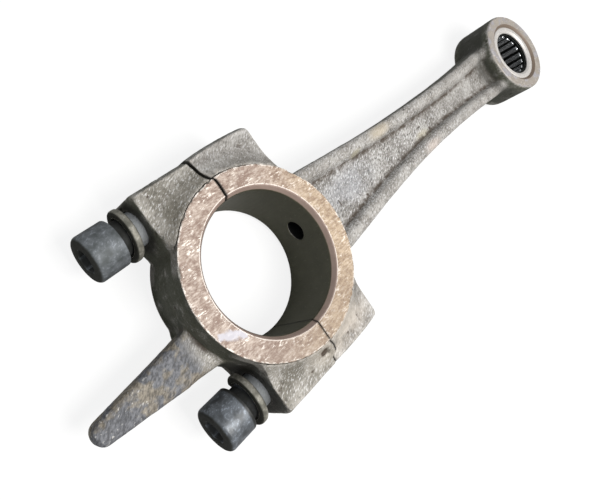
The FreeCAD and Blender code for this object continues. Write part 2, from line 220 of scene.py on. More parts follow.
class Skin:
    """The points of a mesh in millimetres, with the tools that shape a casting's skin."""

    def __init__(self, mesh):
        self.mesh = mesh
        self.places = read(mesh.vertices, "co", 3) / MM
        edges = read(mesh.edges, "vertices", 2).astype(np.int64)
        self.ends = np.concatenate([edges[:, 0], edges[:, 1]])
        self.others = np.concatenate([edges[:, 1], edges[:, 0]])
        self.degree = np.bincount(self.ends, minlength=len(self.places))

    def around(self, values):
        """Mean of the neighbours of every point."""
        count = len(self.places)
        sums = [np.bincount(self.ends, column[self.others], count) for column in values.T]
        return np.stack(sums, axis=1) / self.degree[:, None]

    def smooth(self, weight, rounds):
        """Pull every point towards its neighbours, by its weight."""
        for _ in range(rounds):
            self.places += 0.5 * weight[:, None] * (self.around(self.places) - self.places)

    def spread(self, values, rounds):
        """The values, blurred over the skin."""
        column = values[:, None].astype(float)
        for _ in range(rounds):
            column = 0.5 * column + 0.5 * self.around(column)
        return column[:, 0]

    def store(self):
        self.mesh.vertices.foreach_set("co", (self.places * MM).astype(np.float32).ravel())
        self.mesh.update()

    def normals(self):
        self.store()
        return read(self.mesh.vertices, "normal", 3)

    def push(self, heights):
        """Move every point along its normal."""
        self.places += self.normals() * heights[:, None]

    def hollowness(self, rounds):
        """Above 0 in a hollow and below 0 on an edge, in millimetres."""
        blurred = self.places.copy()
        for _ in range(rounds):
            blurred = 0.5 * blurred + 0.5 * self.around(blurred)
        return np.sum((blurred - self.places) * self.normals(), axis=1)

    def keep(self, name, values):
        """Store a value for each point under a name that the material reads."""
        attribute = self.mesh.attributes.new(name, "FLOAT", "POINT")
        attribute.data.foreach_set("value", values.astype(np.float32))


def even_copy(node, detail):
    """Copy of a CAD node with even faces and true edges."""
    item = bpy.data.objects.new(node + "_copy", frame["nodes"][node].data.copy())
    bpy.context.scene.collection.objects.link(item)
    weld = item.modifiers.new("weld", "WELD")
    weld.merge_threshold = SAME_POINT
    remesh = item.modifiers.new("even", "REMESH")
    remesh.mode = "SHARP"
    remesh.octree_depth = detail
    remesh.scale = 0.93
    close = item.modifiers.new("close", "WELD")
    close.merge_threshold = CLOSE_POINTS
    ready = item.evaluated_get(bpy.context.evaluated_depsgraph_get())
    mesh = bpy.data.meshes.new_from_object(ready)
    bpy.data.objects.remove(item)
    return mesh


# ---- castings --------------------------------------------------------------------------

ROD_DETAIL = 9              # depth of the even mesh
CAP_DETAIL = 8
ROUNDING_ROUNDS = 14        # smoothing that rounds the cast edges
BLEND_ROUNDS = 70           # smoothing that blends the lugs, the neck and the dipper in
BLEND_WEIGHT = 0.3
CAVITY_ROUNDS = 24
EDGE = 0.1                  # a machined face reaches this far past its nominal edge
SPLIT_SKIN = 0.15           # share of cast skin left beside the split
RAMP_LENGTH = 6.5           # hollow ramps between the lugs' flat sides and the rings
RAMP_STEP = 0.2
RAMP_CURVE = 1.6
RAMP_INSIDE = 15.0          # a ramp lies beyond this |y|
RAMP_ENDS = (22.5, 18.5)    # a ramp fades out between these |x|
ROOT_SIDE = 13.0            # the lugs' roots lie beyond this |y| ...
ROOT_FROM = 4.0             # ... and this |x|
NICK = 0.4                  # deepest nick in the rings' outer edge
DRAW = 1.35                 # draft of the wall around the bore
CLOSED = 0.22               # how far the cap is pressed against the rod in the bore
DIPPER_ROOT = (-27.5, -15.0)
CHIP = (-2.3, -29.2)
CHIP_DEPTH = 1.1
CHIP_FLOOR = 5.0            # the chip stays above this height


def bolt_axis(side):
    """Where a screw's axis lies along Y."""
    low, high = span("cap_screw_%d" % side)
    return (low.y + high.y) / 2


def from_bolts(places):
    """Distance from the nearer screw's axis."""
    along = [np.hypot(places[:, 1] - bolt_axis(side), places[:, 2]) for side in SIDES]
    return np.minimum(*along)


def cast_share(skin):
    """1 on the cast skin, 0 on machined faces, in holes and at the fracture's edges."""
    x, y, z = skin.places.T
    from_bore = np.hypot(x, y)
    from_eye = np.hypot(x - EYE_X, y)
    rim = (from_bore < RING + EDGE) & (np.abs(z) > WALL_TOP - 1.4)
    inside = from_bore < BORE + BORE_CHAMFER + EDGE
    seat = from_eye < SEAT + SEAT_CHAMFER + EDGE
    holes = (from_bolts(skin.places) < HOLE + 0.5) & (x < HOLE_END)
    share = 1.0 - (rim | inside | seat | holes)
    share[(from_eye < EYE_OUT) & (np.abs(z) > EYE_TOP - EDGE / 2)] = 0.0
    share[(np.abs(x) < SPLIT_REACH) & (np.abs(y) > BORE - 1)] *= SPLIT_SKIN
    return share


def grain(skin, share):
    """Sand-cast texture: waves, grains and small pits."""
    fade = skin.spread(share, 4) * share
    places = skin.places
    waves = 0.05 * noise_at(places, 9.0, 1) + 0.03 * noise_at(places, 3.5, 2)
    grains = 0.035 * noise_at(places, 1.3, 3) + 0.025 * noise_at(places, 0.75, 4)
    pits = -0.2 * ease(noise_at(places, 1.5, 5), 0.7, 0.85)
    skin.push(fade * (waves + grains + pits))


def raise_lugs(skin):
    """Sweep the lugs' flat sides up to the thrust rings in a hollow ramp."""
    x, y, z = skin.places.T
    from_bore = np.hypot(x, y)
    up = np.abs(z)
    far = np.clip((from_bore - RING) / RAMP_LENGTH, 0, 1)
    height = LUG_TOP + (RING_TOP - RAMP_STEP - LUG_TOP) * (1 - far) ** RAMP_CURVE
    on_lug = (np.abs(y) > RAMP_INSIDE) & (up > LUG_TOP - 1.2) & (from_bore > RING + EDGE)
    share = on_lug * ease(np.abs(x), *RAMP_ENDS) * ease(up, LUG_TOP - 1.2, LUG_TOP - 0.2)
    lift = np.maximum(height - up, 0) * share
    skin.places[:, 2] += lift * np.sign(z)


def nick_rims(skin):
    """Wear the outer edge of the thrust rings."""
    x, y, z = skin.places.T
    from_bore = np.hypot(x, y)
    outer = ease(np.abs(from_bore - RING), 0.6, 0.1)
    edge = outer * ease(np.abs(z), RING_TOP - 0.6, RING_TOP - 0.1)
    ragged = noise_at(skin.places, 3.1, 6) + 0.8 * noise_at(skin.places, 0.9, 7)
    depth = NICK * edge * np.clip(ragged - 0.2, 0, 1)
    skin.places[:, 0] -= depth * x / from_bore
    skin.places[:, 1] -= depth * y / from_bore
    skin.places[:, 2] -= 0.8 * depth * np.sign(z)


def draw_in_underside(skin):
    """Slope the cap's wall inwards towards the underside, away from split and dipper."""
    x, y, z = skin.places.T
    from_bore = np.hypot(x, y)
    below = ease(z, -1.0, -10.5)
    wall = ease(from_bore, BORE + 2.0, BORE + 5.5) * ease(from_bore, RING + 4.0, RING + 1.0)
    from_dipper = np.hypot(x - DIPPER_ROOT[0], y - DIPPER_ROOT[1])
    inwards = DRAW * below * wall * ease(-x, 7.0, 16.0) * ease(from_dipper, 11.0, 15.0)
    skin.places[:, 0] -= inwards * x / from_bore
    skin.places[:, 1] -= inwards * y / from_bore


def chip_crack(skin):
    """Chip beside the split on one lug of the cap."""
    x, y, z = skin.places.T
    reach = np.hypot((x - CHIP[0]) * 0.8, y - CHIP[1]) + 0.7 * noise_at(skin.places, 1.1, 8)
    skin.places[:, 2] -= CHIP_DEPTH * ease(reach, 1.9, 0.5) * (z > CHIP_FLOOR)


def split_faces(skin):
    """1 on the fracture faces of the split big end."""
    x, y = skin.places.T[:2]
    facing = np.abs(skin.normals()[:, 0]) > 0.6
    return 1.0 * (facing & (np.abs(x) < SPLIT_REACH) & (np.hypot(x, y) > BORE - 0.5))


def close_split(skin, split):
    """Press the cap against the rod inside the bore, on the side where the parts touch."""
    x, y, z = skin.places.T
    near = ease(np.hypot(x, y), BORE + 2.6, BORE + 1.2) * (y < 0)
    skin.places[:, 0] += CLOSED * split * near * ease(z, RING_TOP - 1.8, RING_TOP - 2.6)


def lug_roots(skin):
    """Share of blending at the roots of the screw lugs."""
    x, y = skin.places.T[:2]
    beside = (np.abs(y) > ROOT_SIDE) & (np.abs(x) > ROOT_FROM)
    return BLEND_WEIGHT * ease(np.hypot(x, y), 33.0, 29.0) * beside


def round_off(skin, share, rounds, blend):
    """Raise the lugs' ramps, then round the cast edges and blend the parts into each other."""
    raise_lugs(skin)
    skin.smooth(share, ROUNDING_ROUNDS * rounds)
    skin.smooth(share * blend, BLEND_ROUNDS * rounds)
    raise_lugs(skin)
    skin.smooth(share, 2)


def finish_casting(skin, share, split):
    """Give the skin its grain and wear, and keep what the material has to know."""
    grain(skin, share)
    nick_rims(skin)
    skin.keep("split", skin.spread(split, 1))
    skin.keep("hollow", skin.hollowness(CAVITY_ROUNDS))
    skin.store()


def build_rod(material):
    mesh = even_copy("rod_casting", ROD_DETAIL)
    skin = Skin(mesh)
    share = cast_share(skin)
    split = split_faces(skin)
    x, y, z = skin.places.T
    neck = ease(np.hypot(x - EYE_X, y), 25.0, 21.0) * (x < EYE_X)
    neck *= ease(np.abs(z), EYE_TOP - 0.4, EYE_TOP - 1.6)
    round_off(skin, share, 1, np.maximum(lug_roots(skin), neck))
    finish_casting(skin, share, split)
    return add_object("rod_casting_skin", mesh, "rod", "rod_casting", material)


def build_cap(material):
    mesh = even_copy("bearing_cap", CAP_DETAIL)
    skin = Skin(mesh)
    share = cast_share(skin)
    split = split_faces(skin)
    x, y = skin.places.T[:2]
    dipper_root = ease(np.hypot(x - DIPPER_ROOT[0], y - DIPPER_ROOT[1]), 8.0, 4.0)
    round_off(skin, share, 2, np.maximum(lug_roots(skin), dipper_root))
    draw_in_underside(skin)
    chip_crack(skin)
    close_split(skin, split)
    finish_casting(skin, share, split)
    return add_object("bearing_cap_skin", mesh, "cap", "bearing_cap", material)


# ---- screws and lock washers -----------------------------------------------------------

HEAD_HEIGHT = 8.8
HEAD_ROUNDING = 1.3
SOCKET_FLATS = 6.0
SOCKET_DEPTH = 4.2
SOCKET_CONE = 0.9           # depth of the drill point under the socket's floor
FITTED = 5.0                # radius of the smooth fitted part
FITTED_LENGTH = 25.0
THREAD = 4.0                # outer radius of the thread
THREAD_PITCH = 1.25
THREAD_DEPTH = 0.62
THREAD_STEPS = 12           # rings in each pitch
RELIEF = 0.02               # the thread stays this far inside its CAD cylinder
WASHER_TURN = math.radians(300.0)
WASHER_ARC = math.radians(348.0)
WASHER_THICKNESS = 2.0
WASHER_WIDTH = 2.35
WASHER_CORNER = 0.6
NECK_START = -28.05         # along X: the neck under the heads,
SHANK_START = -24.2         # the clean part of the shank
LUG_START = -14.0           # and the face of the lugs


def hexagon(turns, flats):
    """Radius of a hexagon at each turn."""
    sixth = math.pi / 3
    return flats / 2 / np.cos((turns % sixth) - sixth / 2)


def socket_rings(top):
    """Rings from the middle of the socket's floor out to its mouth."""
    turns = np.linspace(0, 2 * math.pi, AROUND, endpoint=False)
    shape = hexagon(turns, SOCKET_FLATS)
    mouth = SOCKET_FLATS / math.sqrt(3) + 0.25
    stages = [
        (SOCKET_DEPTH + SOCKET_CONE, np.full(AROUND, 0.05)), (SOCKET_DEPTH, 0.75 * shape),
        (SOCKET_DEPTH, 0.97 * shape), (SOCKET_DEPTH - 0.12, shape), (0.45, shape),
        (0.25, np.maximum(shape, mouth - 0.28)), (0.0, np.full(AROUND, mouth)),
    ]
    rings = []
    for depth, radius in stages:
        ring = np.stack([np.full(AROUND, top + depth), radius * np.cos(turns),
                         radius * np.sin(turns)], axis=1)
        rings.append(ring)
    return rings


def thread_rings(start, finish):
    """Rings whose radius follows a helical thread, fading in at the start and the tip."""
    turns = np.linspace(0, 2 * math.pi, AROUND, endpoint=False)
    rings = []
    for place in np.arange(start, finish, THREAD_PITCH / THREAD_STEPS):
        phase = (place / THREAD_PITCH + turns / (2 * math.pi)) % 1
        groove = np.clip(2.6 * np.abs(phase - 0.5) - 0.15, 0, 1)
        fade = min(1, (place - start) / 1.2, 0.35 + (finish - place) / 1.2)
        radius = THREAD - RELIEF - THREAD_DEPTH * fade * (1 - groove)
        radius = np.minimum(radius, THREAD - 0.8 + (finish - place))
        ring = np.stack([np.full(AROUND, place), radius * np.cos(turns),
                         radius * np.sin(turns)], axis=1)
        rings.append(ring)
    return rings


def build_screw(side, material):
    """Socket head cap screw: head, fitted part and thread."""
    node = "cap_screw_%d" % side
    low, high = span(node)
    head_radius = (high.y - low.y) / 2
    under = low.x + HEAD_HEIGHT
    thread_start = under + FITTED_LENGTH
    head = rounded([
        (low.x, 3.9, 0), (low.x, head_radius, HEAD_ROUNDING), (under, head_radius, 0.35),
        (under, FITTED + 0.5, 0), (under + 0.5, FITTED, 0), (thread_start, FITTED, 0.5),
        (thread_start + 0.4, THREAD - RELIEF, 0),
    ], steps=6)
    centre = (0, bolt_axis(side), 0)
    rings = [ring + np.array(centre) for ring in socket_rings(low.x)]
    rings += turned(head, centre, 0)
    rings += [ring + np.array(centre) for ring in thread_rings(thread_start + 0.5, high.x)]
    mesh = loft(node + "_solid", rings)
    return add_object(node + "_solid", mesh, "screw_%d" % side, node, material)


def build_washer(side, material):
    """Split lock washer: a rounded square wire on one turn of a left-hand coil."""
    node = "lock_washer_%d" % side
    low, high = span(node)
    outer = (high.y - low.y) / 2 - 0.03
    inner = outer - WASHER_WIDTH
    rise = high.x - low.x - WASHER_THICKNESS
    section = rounded([
        (0, inner + 0.5, 0), (0, inner, WASHER_CORNER),
        (WASHER_THICKNESS, inner, WASHER_CORNER), (WASHER_THICKNESS, outer, WASHER_CORNER),
        (0, outer, WASHER_CORNER), (0, inner + 0.55, 0),
    ])
    centre_y = (low.y + high.y) / 2
    rings = []
    for step in range(AROUND + 1):
        share = step / AROUND
        turn = WASHER_TURN - share * WASHER_ARC
        shrink = 0.96 if step in (0, AROUND) else 1.0
        middle = WASHER_THICKNESS / 2
        ring = []
        for place, radius in section:
            along = low.x + (middle + (place - middle) * shrink) + rise * share
            ring.append((along, centre_y + radius * math.cos(turn), radius * math.sin(turn)))
        rings.append(ring)
    mesh = loft(node + "_coil", rings)
    return add_object(node + "_coil", mesh, "washer_%d" % side, node, material)


# ---- needle bearing --------------------------------------------------------------------

RACE = 11.0                 # radius that the rollers roll on
LIP = 9.76                  # radius inside the lip, and at its flared mouth
LIP_MOUTH = 10.7
LIP_DEPTH = 0.7
LIP_THICKNESS = 1.25
CAGE_EDGE = 0.12
ROLLER = 1.25
ROLLER_COUNT = 18


def build_race(material):
    node = "needle_outer_ring"
    top = RACE_TOP
    inside = top - LIP_THICKNESS
    mouth = top - LIP_DEPTH
    half = [
        (inside, RACE, 0.15), (inside, LIP, 0.12), (mouth, LIP, 0.2),
        (top, LIP_MOUTH, 0.25), (top, SEAT, 0.55),
    ]
    other = [(-along, radius, size) for along, radius, size in reversed(half)]
    corners = [(0, RACE, 0)] + half + other + [(-0.01, RACE, 0)]
    rings = turned(rounded(corners), (EYE_X, 0, 0), 2)
    mesh = loft(node + "_turned", rings, endless=True)
    return add_object(node + "_turned", mesh, "rod", node, material)


def build_cage(material):
    """The pressed cage: its CAD shape with every edge rounded off."""
    node = "needle_cage"
    item = bpy.data.objects.new("cage_copy", frame["nodes"][node].data.copy())
    bpy.context.scene.collection.objects.link(item)
    weld = item.modifiers.new("weld", "WELD")
    weld.merge_threshold = SAME_POINT
    bevel = item.modifiers.new("edges", "BEVEL")
    bevel.width = CAGE_EDGE * MM
    bevel.segments = 2
    bevel.limit_method = "ANGLE"
    bevel.angle_limit = math.radians(40)
    ready = item.evaluated_get(bpy.context.evaluated_depsgraph_get())
    mesh = bpy.data.meshes.new_from_object(ready)
    bpy.data.objects.remove(item)
    return add_object(node + "_pressed", mesh, "cage", node, material)


def build_roller(index, material):
    node = "needle_roller_%02d" % index
    low, high = span(node)
    centre = ((low.x + high.x) / 2, (low.y + high.y) / 2, 0)
    profile = rounded([
        (low.z + 0.06, 0.02, 0), (low.z, 0.5, 0.5), (low.z, ROLLER, 0.4),
        (high.z, ROLLER, 0.4), (high.z, 0.5, 0.5), (high.z - 0.06, 0.02, 0),
    ])
    name = node + "_ground"
    mesh = loft(name, turned(profile, centre, 2))
    return add_object(name, mesh, "roller_%02d" % index, node, material)


# ---- materials -------------------------------------------------------------------------

def tone(red, green, blue):
    """Colour from 0 to 255 screen values."""
    def linear(value):
        value /= 255
        return value / 12.92 if value <= 0.04045 else ((value + 0.055) / 1.055) ** 2.4
    return (linear(red), linear(green), linear(blue), 1.0)


class Shader:
    """A material, built by short calls that return sockets."""

    def __init__(self, name):
        self.material = bpy.data.materials.new(name)
        self.material.use_nodes = True
        self.tree = self.material.node_tree
        self.tree.nodes.clear()
        self.place = self.node("ShaderNodeTexCoord").outputs["Object"]
        self.paint = None

    def node(self, kind, inputs=None, **settings):
        made = self.tree.nodes.new(kind)
        for name, value in settings.items():
            setattr(made, name, value)
        for name, value in (inputs or {}).items():
            if isinstance(value, bpy.types.NodeSocket):
                self.tree.links.new(value, made.inputs[name])
            else:
                made.inputs[name].default_value = value
        return made

    def math(self, operation, first, second=0.0, clamp=False):
        made = self.node("ShaderNodeMath", {0: first, 1: second}, operation=operation)
        made.use_clamp = clamp
        return made.outputs[0]

    def axes(self):
        """The three coordinates, in millimetres."""
        split = self.node("ShaderNodeSeparateXYZ", {0: self.place})
        return [self.math("DIVIDE", split.outputs[axis], MM) for axis in range(3)]

    def distance(self, x, y, x0=0.0, y0=0.0):
        """Distance from the point x0, y0 in the plane of two coordinates."""
        over = self.math("SUBTRACT", x, x0)
        up = self.math("SUBTRACT", y, y0)
        flat = self.node("ShaderNodeCombineXYZ", {0: over, 1: up})
        length = self.node("ShaderNodeVectorMath", {0: flat.outputs[0]}, operation="LENGTH")
        return length.outputs["Value"]

    def noise(self, size, detail=3.0, rough=0.6, stretch=(1, 1, 1), turn=0.0):
        """Noise whose grains measure about size millimetres, longer along X before the turn."""
        mapping = {"Vector": self.place, "Scale": stretch, "Rotation": (0, 0, turn)}
        mapped = self.node("ShaderNodeMapping", mapping, vector_type="TEXTURE")
        made = self.node("ShaderNodeTexNoise", {
            "Vector": mapped.outputs[0], "Scale": 1 / (size * MM), "Detail": detail,
            "Roughness": rough})
        return made.outputs["Fac"]

    def fade(self, value, low, high):
        """0 at low, 1 at high, smooth between."""
        made = self.node("ShaderNodeMapRange", {
            "Value": value, "From Min": low, "From Max": high}, interpolation_type="SMOOTHSTEP")
        if low > high:
            made.inputs["From Min"].default_value = high
            made.inputs["From Max"].default_value = low
            made.inputs["To Min"].default_value = 1.0
            made.inputs["To Max"].default_value = 0.0
        return made.outputs[0]

    def both(self, first, *others):
        """Product of shares: high only where all of them are."""
        for other in others:
            first = self.math("MULTIPLY", first, other)
        return first

    def without(self, share):
        return self.math("SUBTRACT", 1.0, share)

    def facing(self, axis):
        """How far the surface faces along an axis, either way, from 0 to 1."""
        normal = self.node("ShaderNodeNewGeometry").outputs["Normal"]
        parts = self.node("ShaderNodeSeparateXYZ", {0: normal})
        return self.math("ABSOLUTE", parts.outputs[axis])

    def bolt_reach(self):
        """Distance from the nearer screw's axis."""
        y, z = self.axes()[1:]
        return self.math("MINIMUM", *[self.distance(y, z, bolt_axis(side)) for side in SIDES])

    def attribute(self, name):
        return self.node("ShaderNodeAttribute", attribute_name=name).outputs["Fac"]

    def mix(self, share, first, second):
        """Colour from first to second."""
        inputs = {0: share, 6: first, 7: second}
        return self.node("ShaderNodeMix", inputs, data_type="RGBA").outputs[2]

    def blend(self, share, first, second):
        """The same for plain numbers."""
        inputs = {0: share, 2: first, 3: second}
        return self.node("ShaderNodeMix", inputs, data_type="FLOAT").outputs[0]

    def turn_to(self, share, first, second):
        """The same for normals."""
        inputs = {0: share, 4: first, 5: second}
        return self.node("ShaderNodeMix", inputs, data_type="VECTOR").outputs[1]

    def coat(self, share, strength, colour):
        """Lay a colour over the paint so far."""
        self.paint = self.mix(self.both(share, strength), self.paint, colour)

    def bump(self, height, depth, strength=1.0):
        """Surface relief: height from 0 to 1 stands for depth millimetres."""
        inputs = {"Height": height, "Distance": depth * MM, "Strength": strength}
        return self.node("ShaderNodeBump", inputs).outputs[0]

    def finish(self, colour, metal, rough, normal):
        """The finished material."""
        surface = self.node("ShaderNodeBsdfPrincipled", {
            "Base Color": colour, "Metallic": metal, "Roughness": rough, "Normal": normal})
        output = self.node("ShaderNodeOutputMaterial")
        self.tree.links.new(surface.outputs[0], output.inputs[0])
        return self.material


STROKE_TURN = 0.6           # direction of the scratches on the castings
RING_TURN = -0.04           # direction of the cuts on the thrust rings
WEB_START = 28.0            # the web begins here, along X
BAND_MIDDLE = (-22.0, -7.9)  # pale lavender diagonal band on the thrust ring of the cap
BAND_TURN = -0.48
BAND_LENGTH = 4.4
BAND_WIDTH = 1.6

PIT = tone(40, 38, 36)
FLECK = tone(228, 228, 230)
OIL_AND_SHADE = tone(54, 57, 38)
DEEP_WALL_SHADE = tone(30, 31, 22)
SHADE_BY_RING = tone(82, 76, 64)
BOLT_FACE_SHADOW = tone(32, 30, 22)
FILM = tone(62, 50, 38)
WORN = tone(196, 190, 182)
CHAMFER = (tone(140, 120, 110), tone(170, 150, 140))
BORE_WALL = (tone(72, 72, 56), tone(98, 97, 80))
BORE_SCUFF = tone(130, 128, 112)
BORE_SHADE = tone(52, 52, 38)
SPLIT_SHADE = tone(40, 36, 30)
BOLT_HOLE_SHADE = tone(52, 50, 44)
OIL_HOLE_SHADE = tone(8, 8, 6)
NECK_SHADE = tone(46, 46, 40)
EYE_FACE = (tone(136, 127, 119), tone(170, 163, 154))
EYE_BLUE = tone(158, 158, 168)
EYE_SCRATCH = tone(216, 210, 204)
RECESS = tone(112, 98, 86)
BLADE_BEIGE = (tone(76, 70, 61), tone(138, 130, 117))
BLADE_BLUE = (tone(56, 58, 64), tone(108, 110, 116))
BLADE_GLINT = tone(214, 212, 208)
RING_TAN = (tone(136, 115, 103), tone(180, 164, 152))
RING_GOLD = (tone(152, 130, 108), tone(188, 168, 144))
RING_GLINT = tone(244, 236, 226)
RING_DULL = tone(104, 82, 72)
RING_BAND = tone(190, 188, 196)
RING_RIM_AND_HIGHLIGHT = tone(242, 234, 226)
RING_SHADE = tone(120, 104, 90)

# Patches of tone laid over the sand: middle, reach along Y, tone and strength. A patch is
# longer along X. The pale patch on the rod's -Y lug at (6.0, -28.0) is a painted pool of light;
# the dark one at the chip is rust.
PATCHES_AND_PAINTED_LIGHT = (
    ((67.8, 9.3), 3.4, tone(196, 182, 158), 0.55),
    ((53.0, 8.0), 1.6, tone(132, 122, 82), 0.5),
    ((88.0, -7.5), 3.0, tone(206, 190, 180), 0.5),
    ((89.6, -2.4), 2.4, tone(190, 182, 154), 0.45),
    ((44.0, 1.0), 8.0, tone(178, 182, 192), 0.3),
    ((6.0, -28.0), 7.5, tone(232, 219, 204), 0.45),
    (CHIP, 1.1, tone(62, 48, 36), 0.85),
)
PATCH_STRETCH = 0.4


class Iron(Shader):
    """Cast iron: its sandy skin, the film in its hollows, and its machined faces."""

    def __init__(self, name, warm, dark):
        super().__init__(name)
        self.x, self.y, self.z = self.axes()
        self.height = self.math("ABSOLUTE", self.z)
        self.from_bore = self.distance(self.x, self.y)
        self.from_eye = self.distance(self.x, self.y, EYE_X)
        self.from_bolts = self.bolt_reach()
        self.hollow = self.attribute("hollow")
        self.clouds = self.noise(7.0, 4.0)
        self.grit = self.noise(0.38, 2.0, 0.7, stretch=(3.0, 1, 1), turn=STROKE_TURN)
        self.paint = self.mix(self.fade(self.clouds, 0.35, 0.65), dark, warm)
        wide_y = self.math("ABSOLUTE", self.y)
        self.on_lug = self.both(self.fade(wide_y, 11.0, 14.0),
                                self.fade(self.height, LUG_TOP - 1.2, LUG_TOP - 0.4))
        self.beside_ring = self.both(
            self.on_lug, self.fade(self.from_bore, RING + 2.2, RING + 1.2))

    def sand(self):
        """Dark pits and pale flecks, strongest on the web, and patches of tone, one of them a
        painted pool of light.
        """
        web = self.both(self.fade(self.x, 26.0, 31.0), self.fade(self.x, 125.0, 80.0),
                        self.fade(self.height, 9.0, 6.0))
        lively = self.blend(web, 0.55, 1.0)
        self.flecks = self.both(self.fade(self.grit, 0.54, 0.67), lively)
        self.coat(self.both(self.fade(self.grit, 0.47, 0.34), lively), 0.85, PIT)
        self.coat(self.flecks, 0.9, FLECK)
        broken = self.fade(self.clouds, 0.25, 0.5)
        # the pale patch on the rod's -Y lug is a painted pool of light
        for (patch_x, patch_y), reach, patch_tone, strength in PATCHES_AND_PAINTED_LIGHT:
            near = self.distance(self.both(self.x, PATCH_STRETCH), self.y,
                                 patch_x * PATCH_STRETCH, patch_y)
            spot = self.fade(near, reach, reach * 0.2)
            self.coat(self.both(spot, broken), strength, patch_tone)

    def grime_and_shade(self, dipper):
        """Oil film and painted shade on the side walls, painted shade beside the rings, a
        painted shadow on the lug faces behind the screws, and film in the hollows.
        """
        # painted shade on walls that face sideways, mixed with an oil film
        oily_and_shaded = self.both(self.fade(self.facing(2), 0.6, 0.2),
                         self.fade(self.noise(4.0, 3.0), 0.2, 0.5),
                         self.without(self.beside_ring))
        wall_oil_and_shade = OIL_AND_SHADE
        if dipper:
            oily_and_shaded = self.both(oily_and_shaded, self.fade(self.x, -34.0, -27.0))
            # painted shade: darker still on the cap's walls towards -Y
            deep_shade = self.both(self.fade(self.y, -10.0, -19.0), self.fade(self.x, -3.0, -8.0))
            wall_oil_and_shade = self.mix(deep_shade, OIL_AND_SHADE, DEEP_WALL_SHADE)
        self.coat(oily_and_shaded, 0.86, wall_oil_and_shade)
        # painted shade on the lug tops next to the thrust rings
        shade_by_ring = self.both(self.on_lug, self.fade(self.from_bore, RING + 6.0, RING + 0.5))
        self.coat(shade_by_ring, 0.3, SHADE_BY_RING)
        # painted shadow on the lug faces behind the screws
        bolt_face_shadow = self.both(self.fade(self.facing(0), 0.6, 0.85),
                              self.fade(self.from_bolts, 9.5, 6.5))
        self.coat(bolt_face_shadow, 0.8, BOLT_FACE_SHADOW)
        film = self.both(self.fade(self.hollow, 0.01, 0.16),
                         self.fade(self.noise(2.5), 0.25, 0.6),
                         self.without(self.beside_ring))
        self.coat(film, 0.9, FILM)
        worn = self.both(self.fade(self.hollow, -0.03, -0.2),
                         self.fade(self.noise(1.1), 0.35, 0.65))
        self.coat(worn, 0.45, WORN)

    def dipper_patches(self):
        """Blue-grey and beige blotches on the oil dipper's blade."""
        fine = self.noise(0.55, 2.0, 0.6, stretch=(2.2, 1, 1), turn=STROKE_TURN)
        fine = self.fade(fine, 0.3, 0.7)
        patches = self.fade(self.noise(6.0, 3.0, 0.55), 0.45, 0.56)
        blotched = self.mix(patches, self.mix(fine, *BLADE_BEIGE), self.mix(fine, *BLADE_BLUE))
        # painted glints near the tip of the blade
        glint = self.noise(0.7, 2.0, 0.6, stretch=(2, 1, 1), turn=STROKE_TURN)
        glint = self.both(self.fade(glint, 0.62, 0.7), self.fade(self.x, -36.0, -48.0), 0.55)
        blotched = self.mix(glint, blotched, BLADE_GLINT)
        self.coat(self.fade(self.x, -26.0, -32.0), 0.92, blotched)

    def pale_band(self):
        """Share of the pale lavender diagonal band on the thrust ring."""
        over = self.math("SUBTRACT", self.x, BAND_MIDDLE[0])
        up = self.math("SUBTRACT", self.y, BAND_MIDDLE[1])
        cosine, sine = math.cos(BAND_TURN), math.sin(BAND_TURN)
        along = self.math("ADD", self.both(over, cosine), self.both(up, sine))
        across = self.math("SUBTRACT", self.both(up, cosine), self.both(over, sine))
        waves = self.both(self.math("SUBTRACT", self.noise(2.2), 0.5), 3.0)
        along = self.math("ABSOLUTE", along)
        across = self.math("ABSOLUTE", self.math("ADD", across, waves))
        return self.both(self.fade(along, BAND_LENGTH, BAND_LENGTH - 0.8),
                         self.fade(across, BAND_WIDTH, BAND_WIDTH - 0.9))

    def ring_rims_and_highlights(self):
        """Share of the bright edges of the thrust ring: partly wear, partly painted highlight.
        """
        inner_edge = BORE + BORE_CHAMFER
        outer = self.both(self.fade(self.from_bore, RING - 0.5, RING - 0.2),
                          self.fade(self.noise(1.1), 0.44, 0.58))
        inner = self.both(self.fade(self.from_bore, inner_edge + 0.35, inner_edge + 0.1),
                          self.fade(self.noise(1.6), 0.34, 0.48))
        return self.math("MAXIMUM", outer, inner)

    def ground_ring(self):
        """Colour, roughness and relief of the face-ground thrust ring."""
        side = self.math("ADD", self.both(self.x, 0.75), self.both(self.y, -0.45))
        blotches = self.noise(1.7, 4.0, 0.7, stretch=(1.8, 1, 1), turn=RING_TURN)
        blotches = self.fade(blotches, 0.36, 0.64)
        base = self.mix(self.fade(side, -4.0, 18.0), self.mix(blotches, *RING_TAN),
                        self.mix(blotches, *RING_GOLD))
        # painted glints: white cuts that stand for highlights, more of them on the left
        cuts = self.noise(0.5, 3.0, 0.7, stretch=(2.6, 1, 1), turn=RING_TURN)
        glints = self.fade(cuts, 0.53, 0.63)
        lively = self.fade(self.noise(4.5, 2.0), 0.46, 0.62)
        left = self.blend(self.fade(self.x, -6.0, -16.0), 0.55, 0.95)
        bright = self.math("ADD", self.both(lively, left), 0.22, clamp=True)
        base = self.mix(self.both(glints, bright), base, RING_GLINT)
        base = self.mix(self.both(self.fade(cuts, 0.47, 0.35), 0.5), base, RING_DULL)
        base = self.mix(self.both(self.pale_band(), 0.9), base, RING_BAND)
        # bright edges: wear and painted highlight
        base = self.mix(self.both(self.ring_rims_and_highlights(), 0.85), base, RING_RIM_AND_HIGHLIGHT)
        base = self.mix(self.both(self.fade(self.y, -10.0, -22.0), 0.32), base, RING_SHADE)
        return base, self.blend(glints, 0.62, 0.5), cuts

